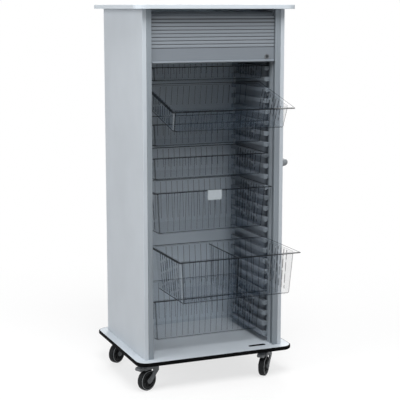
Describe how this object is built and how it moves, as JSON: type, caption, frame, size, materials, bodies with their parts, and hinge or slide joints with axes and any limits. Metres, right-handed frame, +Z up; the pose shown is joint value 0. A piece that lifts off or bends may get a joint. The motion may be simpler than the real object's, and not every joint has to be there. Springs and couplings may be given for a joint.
{
  "type": "mobile tray storage cabinet",
  "caption": "Tall mobile cabinet of pale laminate on swivel casters, with clear pull-out trays on moulded runner ladders behind a roller shutter with a lock.",
  "frame": {"origin": "on the floor, under the middle of the box that holds the whole part with its sixth tray pulled out", "axes": "+X to the right seen from the front, +Y from the front to the back, +Z up"},
  "size_m": [0.8, 0.911, 1.7903],
  "materials": {
    "laminate": "pale blue-grey melamine laminate on board, satin, with matching edge band",
    "bumper": "black extruded buffer strip, satin",
    "post_aluminium": "satin anodised extrusion",
    "shutter_plastic": "mid-grey extruded slats, satin",
    "runner_plastic": "light grey moulded plastic, fine texture",
    "clear_plastic": "clear moulded polycarbonate, glossy, slightly grey at the edges",
    "label_card": "plain white label holder, unprinted",
    "zinc_steel": "bright zinc plating",
    "grey_nylon": "dark grey moulded nylon, fine texture",
    "tyre_rubber": "dark non-marking rubber, matt"
  },
  "bodies": {
    "cabinet": {"base_plate": "laminate", "base_bumper": "bumper", "top_panel": "laminate", "left_side_panel": "laminate", "right_side_panel": "laminate", "back_panel": "laminate", "left_front_post": "post_aluminium", "right_front_post": "post_aluminium", "left_runner_lower": "runner_plastic", "left_runner_middle": "runner_plastic", "left_runner_upper": "runner_plastic", "right_runner_lower": "runner_plastic", "right_runner_middle": "runner_plastic", "right_runner_upper": "runner_plastic", "left_coil_bracket": "zinc_steel", "right_coil_bracket": "zinc_steel", "shutter_lead": "shutter_plastic", "handle_bar": "grey_nylon", "handle_foot_front": "grey_nylon", "handle_foot_rear": "grey_nylon", "front_left_caster_plate": "zinc_steel", "front_right_caster_plate": "zinc_steel", "rear_left_caster_plate": "zinc_steel", "rear_right_caster_plate": "zinc_steel"},
    "shutter": {"shutter_curtain": "shutter_plastic", "shutter_bar": "shutter_plastic", "lock_housing": "zinc_steel"},
    "lock_plug": {"lock_plug": "zinc_steel"},
    "shutter_coil": {"shutter_coil": "shutter_plastic"},
    "tray_1": {"tray_1": "clear_plastic"},
    "tray_2": {"tray_2": "clear_plastic"},
    "tray_3": {"tray_3": "clear_plastic"},
    "tray_4": {"tray_4": "clear_plastic"},
    "tray_5": {"tray_5": "clear_plastic", "tray_5_label": "label_card"},
    "tray_6": {"tray_6": "clear_plastic", "tray_6_divider": "clear_plastic"},
    "tray_7": {"tray_7": "clear_plastic"},
    "front_left_swivel": {"front_left_fork": "grey_nylon", "front_left_axle": "zinc_steel"},
    "front_left_wheel": {"front_left_tyre": "tyre_rubber", "front_left_hub": "grey_nylon"},
    "front_left_pedal": {"front_left_brake_pedal": "grey_nylon"},
    "front_right_swivel": {"front_right_fork": "grey_nylon", "front_right_axle": "zinc_steel"},
    "front_right_wheel": {"front_right_tyre": "tyre_rubber", "front_right_hub": "grey_nylon"},
    "front_right_pedal": {"front_right_brake_pedal": "grey_nylon"},
    "rear_left_swivel": {"rear_left_fork": "grey_nylon", "rear_left_axle": "zinc_steel"},
    "rear_left_wheel": {"rear_left_tyre": "tyre_rubber", "rear_left_hub": "grey_nylon"},
    "rear_right_swivel": {"rear_right_fork": "grey_nylon", "rear_right_axle": "zinc_steel"},
    "rear_right_wheel": {"rear_right_tyre": "tyre_rubber", "rear_right_hub": "grey_nylon"}
  },
  "joints": [
    {"name": "tray_1_slide", "type": "slide", "parent": "cabinet", "child": "tray_1", "axis": [0, -1, 0], "range_m": [0, 0.345]},
    {"name": "tray_2_tilt", "type": "hinge", "parent": "cabinet", "child": "tray_2", "pos_m": [0, -0.0825, 1.4022], "axis": [1, 0, 0], "range_deg": [-14.45, 0]},
    {"name": "tray_3_slide", "type": "slide", "parent": "cabinet", "child": "tray_3", "axis": [0, -1, 0], "range_m": [0, 0.12]},
    {"name": "tray_4_slide", "type": "slide", "parent": "cabinet", "child": "tray_4", "axis": [0, -1, 0], "range_m": [0, 0.345]},
    {"name": "tray_5_slide", "type": "slide", "parent": "cabinet", "child": "tray_5", "axis": [0, -1, 0], "range_m": [-0.04, 0.305]},
    {"name": "tray_6_slide", "type": "slide", "parent": "cabinet", "child": "tray_6", "axis": [0, -1, 0], "range_m": [-0.345, 0]},
    {"name": "tray_7_slide", "type": "slide", "parent": "cabinet", "child": "tray_7", "axis": [0, -1, 0], "range_m": [0, 0.345]},
    {"name": "shutter_slide", "type": "slide", "parent": "cabinet", "child": "shutter", "axis": [0, 0, 1], "range_m": [-0.11, 0]},
    {"name": "shutter_coil_turn", "type": "hinge", "parent": "cabinet", "child": "shutter_coil", "pos_m": [0, -0.0245, 1.685], "axis": [1, 0, 0], "range_deg": [-1, 92]},
    {"name": "lock_turn", "type": "hinge", "parent": "shutter", "child": "lock_plug", "pos_m": [0.2675, -0.1395, 1.552], "axis": [0, 1, 0], "range_deg": [0, 90]},
    {"name": "front_left_swivel", "type": "hinge", "parent": "cabinet", "child": "front_left_swivel", "pos_m": [-0.297, -0.1075, 0.12], "axis": [0, 0, 1], "continuous": true},
    {"name": "front_left_roll", "type": "hinge", "parent": "front_left_swivel", "child": "front_left_wheel", "pos_m": [-0.33354, -0.12377, 0.05], "axis": [0.4067, -0.9135, 0], "continuous": true},
    {"name": "front_left_brake", "type": "hinge", "parent": "front_left_swivel", "child": "front_left_pedal", "pos_m": [-0.35364, -0.13272, 0.113], "axis": [0.4067, -0.9135, 0], "range_deg": [0, 12]},
    {"name": "front_right_swivel", "type": "hinge", "parent": "cabinet", "child": "front_right_swivel", "pos_m": [0.297, -0.1075, 0.12], "axis": [0, 0, 1], "continuous": true},
    {"name": "front_right_roll", "type": "hinge", "parent": "front_right_swivel", "child": "front_right_wheel", "pos_m": [0.26972, -0.13675, 0.05], "axis": [0.7314, -0.682, 0], "continuous": true},
    {"name": "front_right_brake", "type": "hinge", "parent": "front_right_swivel", "child": "front_right_pedal", "pos_m": [0.25472, -0.15284, 0.113], "axis": [0.7314, -0.682, 0], "range_deg": [0, 12]},
    {"name": "rear_left_swivel", "type": "hinge", "parent": "cabinet", "child": "rear_left_swivel", "pos_m": [-0.297, 0.3535, 0.12], "axis": [0, 0, 1], "continuous": true},
    {"name": "rear_left_roll", "type": "hinge", "parent": "rear_left_swivel", "child": "rear_left_wheel", "pos_m": [-0.33092, 0.3323, 0.05], "axis": [0.5299, -0.848, 0], "continuous": true},
    {"name": "rear_right_swivel", "type": "hinge", "parent": "cabinet", "child": "rear_right_swivel", "pos_m": [0.297, 0.3535, 0.12], "axis": [0, 0, 1], "continuous": true},
    {"name": "rear_right_roll", "type": "hinge", "parent": "rear_right_swivel", "child": "rear_right_wheel", "pos_m": [0.26505, 0.32943, 0.05], "axis": [0.6018, -0.7986, 0], "continuous": true}
  ],
  "couplings": [
    {"joint": "shutter_coil_turn", "follows": "shutter_slide", "rad_per_m": -14.286}
  ]
}
